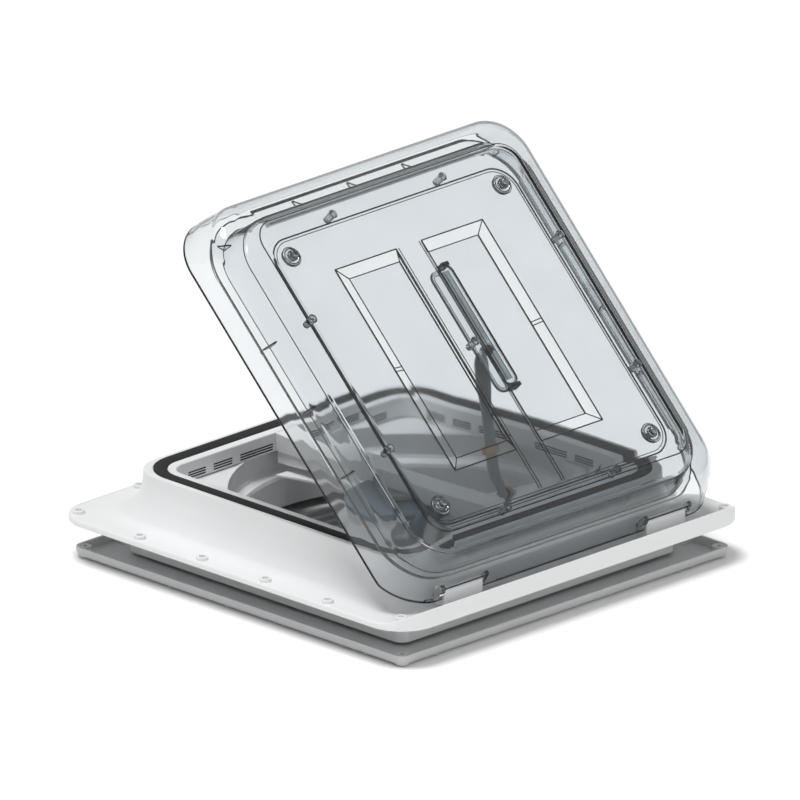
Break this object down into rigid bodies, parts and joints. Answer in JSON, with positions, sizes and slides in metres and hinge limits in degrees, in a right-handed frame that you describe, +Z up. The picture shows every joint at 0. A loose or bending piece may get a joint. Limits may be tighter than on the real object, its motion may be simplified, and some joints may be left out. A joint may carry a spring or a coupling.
{
  "type": "roof vent",
  "caption": "Square roof vent for a caravan with a hinged clear double dome lid, a rubber-sealed roof frame, a fan in a round well, a winder and a ceiling frame.",
  "frame": {"origin": "bottom centre of the ceiling frame, under the centre of the roof opening", "axes": "+Z up through the roof, +X along the lid hinge, +Y from the hinge side to the free side of the lid"},
  "size_m": [0.5, 0.5, 0.4045],
  "materials": {
    "white_abs": "satin",
    "pale_plastic": "satin",
    "light_grey_plastic": "fine grain",
    "mid_grey_plastic": "satin",
    "black_rubber": "matte",
    "black_plastic": "satin",
    "smoke_blue": "smoky translucent",
    "clear_acrylic": "clear with a cool tint",
    "steel": "brushed",
    "brass": "dull"
  },
  "bodies": {
    "root": {"roof_frame": "white_abs", "rubber_seal": "black_rubber", "fan_shroud": "pale_plastic", "bridge_beam": "pale_plastic", "ceiling_frame": "light_grey_plastic", "grille_guard": "light_grey_plastic", "motor_housing": "mid_grey_plastic", "gearbox_housing": "pale_plastic", "gearbox_cover": "pale_plastic", "hinge_bracket_left": "white_abs", "hinge_bracket_right": "white_abs", "hinge_pin_left": "steel", "hinge_pin_right": "steel"},
    "lid": {"dome": "clear_acrylic", "inner_panel": "clear_acrylic", "panel_grommet_1": "clear_acrylic", "panel_grommet_2": "clear_acrylic", "panel_grommet_3": "clear_acrylic", "panel_grommet_4": "clear_acrylic", "panel_screw_1": "steel", "panel_screw_2": "steel", "panel_screw_3": "steel", "panel_screw_4": "steel", "lift_rail": "clear_acrylic", "rail_clip_lower": "black_plastic", "rail_clip_upper": "black_plastic"},
    "arm": {"lift_arm": "mid_grey_plastic", "arm_head_pin": "steel", "arm_pivot_pin": "steel", "arm_band": "brass", "worm_wheel": "brass"},
    "worm": {"worm_shaft": "steel"},
    "crank": {"crank_shaft": "steel", "crank_socket": "mid_grey_plastic"},
    "fan": {"fan_blades": "pale_plastic", "fan_hub": "smoke_blue", "fan_cap": "smoke_blue", "fan_nut": "steel", "motor_shaft": "steel"}
  },
  "joints": [
    {"name": "lid_hinge", "type": "hinge", "parent": "root", "child": "lid", "pos_m": [0, -0.226, 0.06], "axis": [1, 0, 0], "range_deg": [-45, 0]},
    {"name": "arm_pivot", "type": "hinge", "parent": "root", "child": "arm", "pos_m": [0.027, -0.112, 0.085], "axis": [1, 0, 0], "range_deg": [-80.55, 0]},
    {"name": "worm_spin", "type": "hinge", "parent": "root", "child": "worm", "pos_m": [0.034, -0.112, 0.07], "axis": [0, 1, 0], "range_deg": [-1611, 0]},
    {"name": "crank_spin", "type": "hinge", "parent": "root", "child": "crank", "pos_m": [0.034, -0.157, 0], "axis": [0, 0, 1], "range_deg": [-1611, 0]},
    {"name": "fan_spin", "type": "hinge", "parent": "root", "child": "fan", "pos_m": [0, 0, 0.05], "axis": [0, 0, 1], "continuous": true}
  ],
  "couplings": [
    {"joint": "arm_pivot", "follows": "lid_hinge", "ratio": 1.79},
    {"joint": "worm_spin", "follows": "lid_hinge", "ratio": 35.8},
    {"joint": "crank_spin", "follows": "lid_hinge", "ratio": 35.8}
  ]
}
